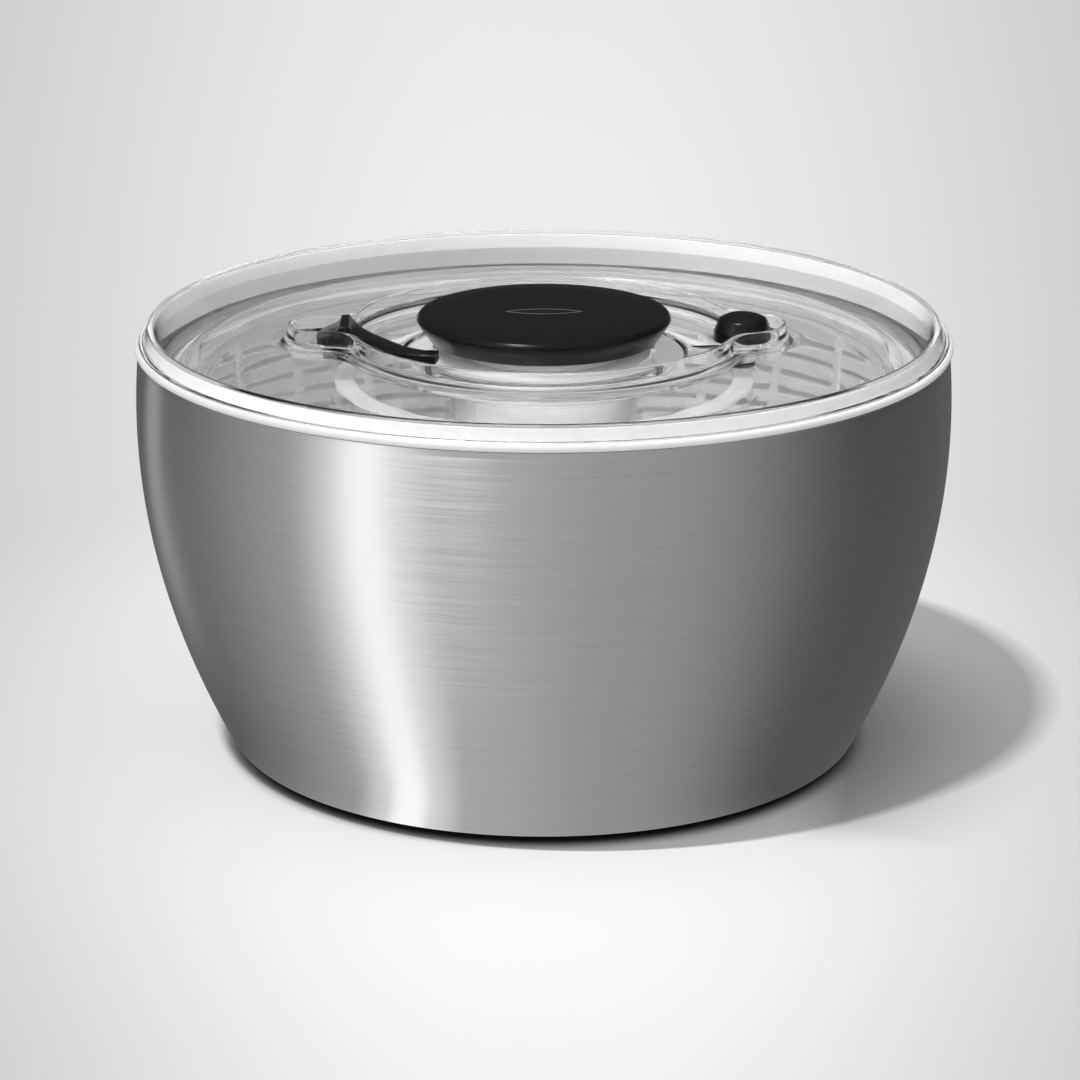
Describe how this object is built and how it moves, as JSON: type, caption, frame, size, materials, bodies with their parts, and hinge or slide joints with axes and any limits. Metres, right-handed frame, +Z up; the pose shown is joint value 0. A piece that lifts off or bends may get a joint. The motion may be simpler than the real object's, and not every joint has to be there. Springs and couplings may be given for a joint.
{
  "type": "salad spinner",
  "caption": "Salad spinner: steel bowl, clear lid with flush pump knob, brake button and slide lock, and a slotted basket on a pivot.",
  "frame": {"origin": "middle of the base ring's underside, on the surface that the bowl stands on", "axes": "+Z up along the spinner's axis; the brake button is on the +X side of the knob and the slide lock on the -X side; -Y is the front"},
  "size_m": [0.2668, 0.2668, 0.1446],
  "materials": {
    "brushed_steel": "fine level brushing",
    "clear_plastic": "clear, polished",
    "frosted_plastic": "translucent, satin",
    "milky_plastic": "milky, semi-gloss",
    "white_plastic": "white, semi-gloss",
    "pale_seal": "pale soft seal, satin",
    "black_plastic": "soft-touch black",
    "dark_rubber": "matt",
    "bearing_plastic": "plain acetal",
    "spring_steel": "drawn wire and turned steel"
  },
  "bodies": {
    "bowl": {"bowl_shell": "brushed_steel", "base_ring": "dark_rubber"},
    "lid": {"lid_shell": "clear_plastic", "rim_gasket": "pale_seal", "mechanism_housing": "milky_plastic", "guide_collar": "clear_plastic", "spindle_bush": "bearing_plastic", "housing_screw_1": "spring_steel", "housing_screw_2": "spring_steel", "housing_screw_3": "spring_steel", "brake_guide": "white_plastic"},
    "turntable": {"turntable_disc": "clear_plastic", "brake_ring": "pale_seal", "ratchet_ring": "white_plastic"},
    "pump": {"pump_knob": "black_plastic", "pump_core": "white_plastic", "drive_nut": "bearing_plastic", "return_spring": "spring_steel"},
    "drive": {"drive_spindle": "spring_steel", "spindle_clip": "spring_steel", "clutch_pawls": "white_plastic", "axle_screw": "spring_steel"},
    "basket_seat": {"pivot_cup": "white_plastic"},
    "basket": {"basket": "frosted_plastic"},
    "brake": {"brake_button": "black_plastic", "brake_plunger": "white_plastic", "brake_pad": "dark_rubber", "brake_spring": "spring_steel"},
    "lock": {"lock_slider": "black_plastic", "lock_clip": "white_plastic"}
  },
  "joints": [
    {"name": "lid_lift", "type": "slide", "parent": "bowl", "child": "lid", "axis": [0, 0, 1], "range_m": [0, 0.3]},
    {"name": "turntable_spin", "type": "hinge", "parent": "lid", "child": "turntable", "pos_m": [0, 0, 0.1], "axis": [0, 0, 1], "continuous": true},
    {"name": "pump_slide", "type": "slide", "parent": "lid", "child": "pump", "axis": [0, 0, 1], "range_m": [0, 0.025], "deforming": ["return_spring"]},
    {"name": "spindle_spin", "type": "hinge", "parent": "lid", "child": "drive", "pos_m": [0, 0, 0.1], "axis": [0, 0, 1], "range_deg": [-240, 0]},
    {"name": "basket_lift", "type": "slide", "parent": "bowl", "child": "basket_seat", "axis": [0, 0, 1], "range_m": [0, 0.15]},
    {"name": "basket_spin", "type": "hinge", "parent": "basket_seat", "child": "basket", "pos_m": [0, 0, 0.06], "axis": [0, 0, 1], "continuous": true},
    {"name": "brake_press", "type": "slide", "parent": "lid", "child": "brake", "axis": [0, 0, -1], "range_m": [0, 0.0027], "stiffness_N_per_m": 400, "springref_m": -0.002, "deforming": ["brake_spring"]},
    {"name": "lock_slide", "type": "slide", "parent": "lid", "child": "lock", "axis": [-1, 0, 0], "range_m": [0, 0.004]}
  ],
  "couplings": [
    {"joint": "spindle_spin", "follows": "pump_slide", "rad_per_m": -157.08},
    {"joint": "basket_spin", "follows": "turntable_spin", "ratio": 1},
    {"joint": "basket_lift", "follows": "lid_lift", "ratio": 0.5}
  ]
}
